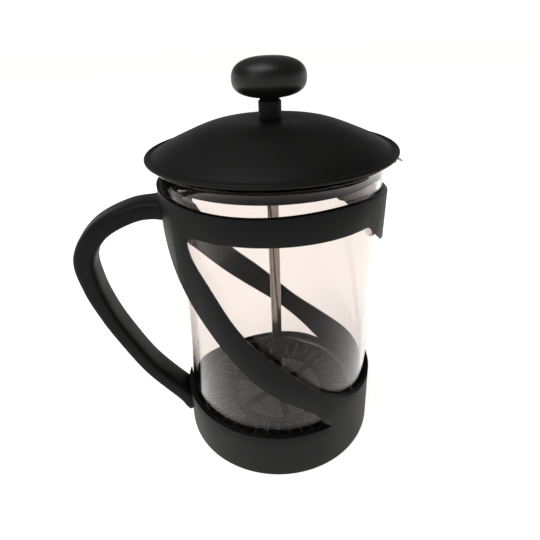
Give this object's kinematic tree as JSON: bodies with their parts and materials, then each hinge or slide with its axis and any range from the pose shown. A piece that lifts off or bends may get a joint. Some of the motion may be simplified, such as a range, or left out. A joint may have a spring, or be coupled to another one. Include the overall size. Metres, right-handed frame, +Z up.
{
  "type": "french press",
  "caption": "Plunger coffee maker: glass beaker in a moulded cage with bowed handle, domed lid, knob and a rod with a filter stack.",
  "frame": {"origin": "centre of the base pad's underside, on the table under the plunger's axis", "axes": "+Z up along the plunger rod, +X towards the spout, -X towards the handle"},
  "size_m": [0.1463, 0.101, 0.1758],
  "materials": {
    "frame_plastic": "satin moulded black polypropylene",
    "lid_plastic": "satin moulded black plastic",
    "knob_plastic": "smooth black plastic with a soft shine",
    "glass": "clear borosilicate glass",
    "steel": "drawn and stamped stainless steel",
    "polished_steel": "polished stainless steel",
    "mesh_steel": "woven stainless steel mesh",
    "brass": "turned brass",
    "rubber": "soft black rubber"
  },
  "bodies": {
    "frame": {"cage_frame": "frame_plastic", "handle": "frame_plastic", "base_pad": "rubber", "cushion_pad": "rubber"},
    "beaker": {"glass_beaker": "glass"},
    "lid_guide": {"guide_bush": "lid_plastic"},
    "lid": {"lid_dome": "lid_plastic", "lid_liner": "lid_plastic"},
    "plunger": {"knob": "knob_plastic", "knob_insert": "brass", "plunger_rod": "polished_steel", "crown_nut": "polished_steel", "hub_boss": "steel", "spiral_plate": "steel", "coil_spring": "polished_steel", "filter_mesh": "mesh_steel", "cross_plate": "steel", "bottom_nut": "polished_steel"}
  },
  "joints": [
    {"name": "beaker_lift", "type": "slide", "parent": "frame", "child": "beaker", "axis": [0, 0, 1], "range_m": [0, 0.14]},
    {"name": "lid_lift", "type": "slide", "parent": "beaker", "child": "lid_guide", "axis": [0, 0, 1], "range_m": [0, 0.14]},
    {"name": "lid_turn", "type": "hinge", "parent": "lid_guide", "child": "lid", "pos_m": [0, 0, 0.15], "axis": [0, 0, 1], "continuous": true},
    {"name": "plunger_slide", "type": "slide", "parent": "lid_guide", "child": "plunger", "axis": [0, 0, 1], "range_m": [0, 0.115]}
  ]
}
